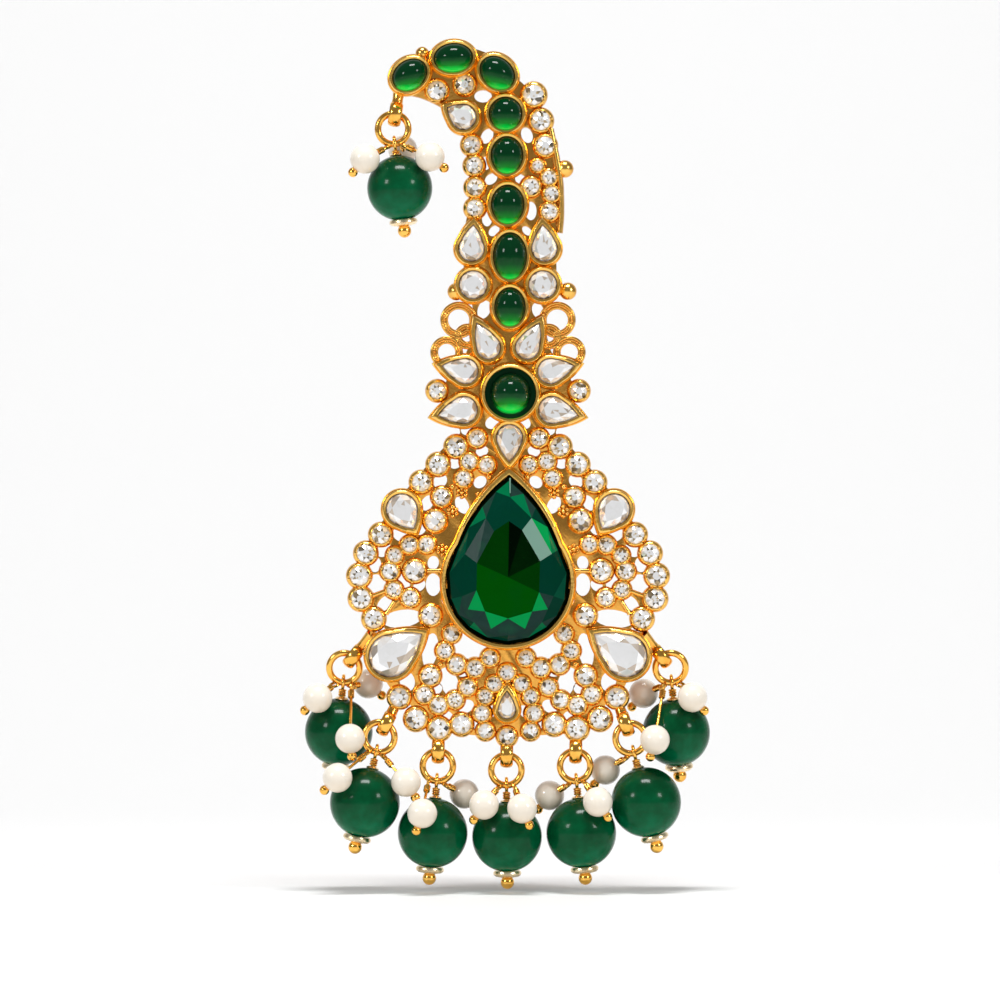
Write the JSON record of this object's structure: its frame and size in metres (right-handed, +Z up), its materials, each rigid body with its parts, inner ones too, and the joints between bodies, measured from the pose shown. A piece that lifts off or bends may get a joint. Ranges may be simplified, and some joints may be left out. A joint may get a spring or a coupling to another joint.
{
  "type": "turban ornament",
  "caption": "Hooked turban ornament of cast gold-coloured metal, set with green and clear stones, with a fringe of green beads and pearls.",
  "frame": {"origin": "on the back pin's axis, halfway between the two lugs that hold it", "axes": "+Z up along the ornament, towards the hook; +X to the right in the front view; the stones face -Y and +Y points into the turban"},
  "size_m": [0.0436, 0.0131, 0.0898],
  "materials": {
    "gold": "polished gold plating, darker in the recesses",
    "pale_gold": "polished pale gold plating",
    "green_stone": "polished dark green glass on foil",
    "clear_stone": "polished clear glass on silver foil",
    "green_bead": "glossy dark green, slightly mottled",
    "pearl": "cream pearl lustre"
  },
  "bodies": {
    "root": {"back_pin": "gold", "bead_fringe_1": "green_bead", "bead_fringe_2": "green_bead", "bead_fringe_3": "green_bead", "bead_fringe_4": "green_bead", "bead_fringe_5": "green_bead", "bead_fringe_6": "green_bead", "bead_fringe_7": "green_bead", "bead_tip": "green_bead", "cabochon_hook_bend": "green_stone", "cabochon_hook_tip": "green_stone", "cabochon_hook_top": "green_stone", "cabochon_neck_foot": "green_stone", "cabochon_neck_lower": "green_stone", "cabochon_neck_middle": "green_stone", "cabochon_neck_round": "green_stone", "cabochon_neck_upper": "green_stone", "cabochon_rosette": "green_stone", "cast_frame": "gold", "centre_pear": "green_stone", "clear_pear_hem": "clear_stone", "clear_pear_hip_left": "clear_stone", "clear_pear_hip_right": "clear_stone", "clear_pear_hook": "clear_stone", "clear_pear_neck_left": "clear_stone", "clear_pear_neck_right": "clear_stone", "clear_pear_shoulder_left": "clear_stone", "clear_pear_shoulder_right": "clear_stone", "clear_pear_waist": "clear_stone", "clear_round_neck_left": "clear_stone", "clear_round_neck_right": "clear_stone", "jump_ring_fringe_1": "gold", "jump_ring_fringe_2": "gold", "jump_ring_fringe_3": "gold", "jump_ring_fringe_4": "gold", "jump_ring_fringe_5": "gold", "jump_ring_fringe_6": "gold", "jump_ring_fringe_7": "gold", "jump_ring_tip": "gold", "pearl_spray_fringe_1": "pearl", "pearl_spray_fringe_2": "pearl", "pearl_spray_fringe_3": "pearl", "pearl_spray_fringe_4": "pearl", "pearl_spray_fringe_5": "pearl", "pearl_spray_fringe_6": "pearl", "pearl_spray_fringe_7": "pearl", "pearl_spray_tip": "pearl", "petal_lower_left": "clear_stone", "petal_lower_right": "clear_stone", "petal_middle_left": "clear_stone", "petal_middle_right": "clear_stone", "petal_upper_left": "clear_stone", "petal_upper_right": "clear_stone"}
  },
  "joints": []
}
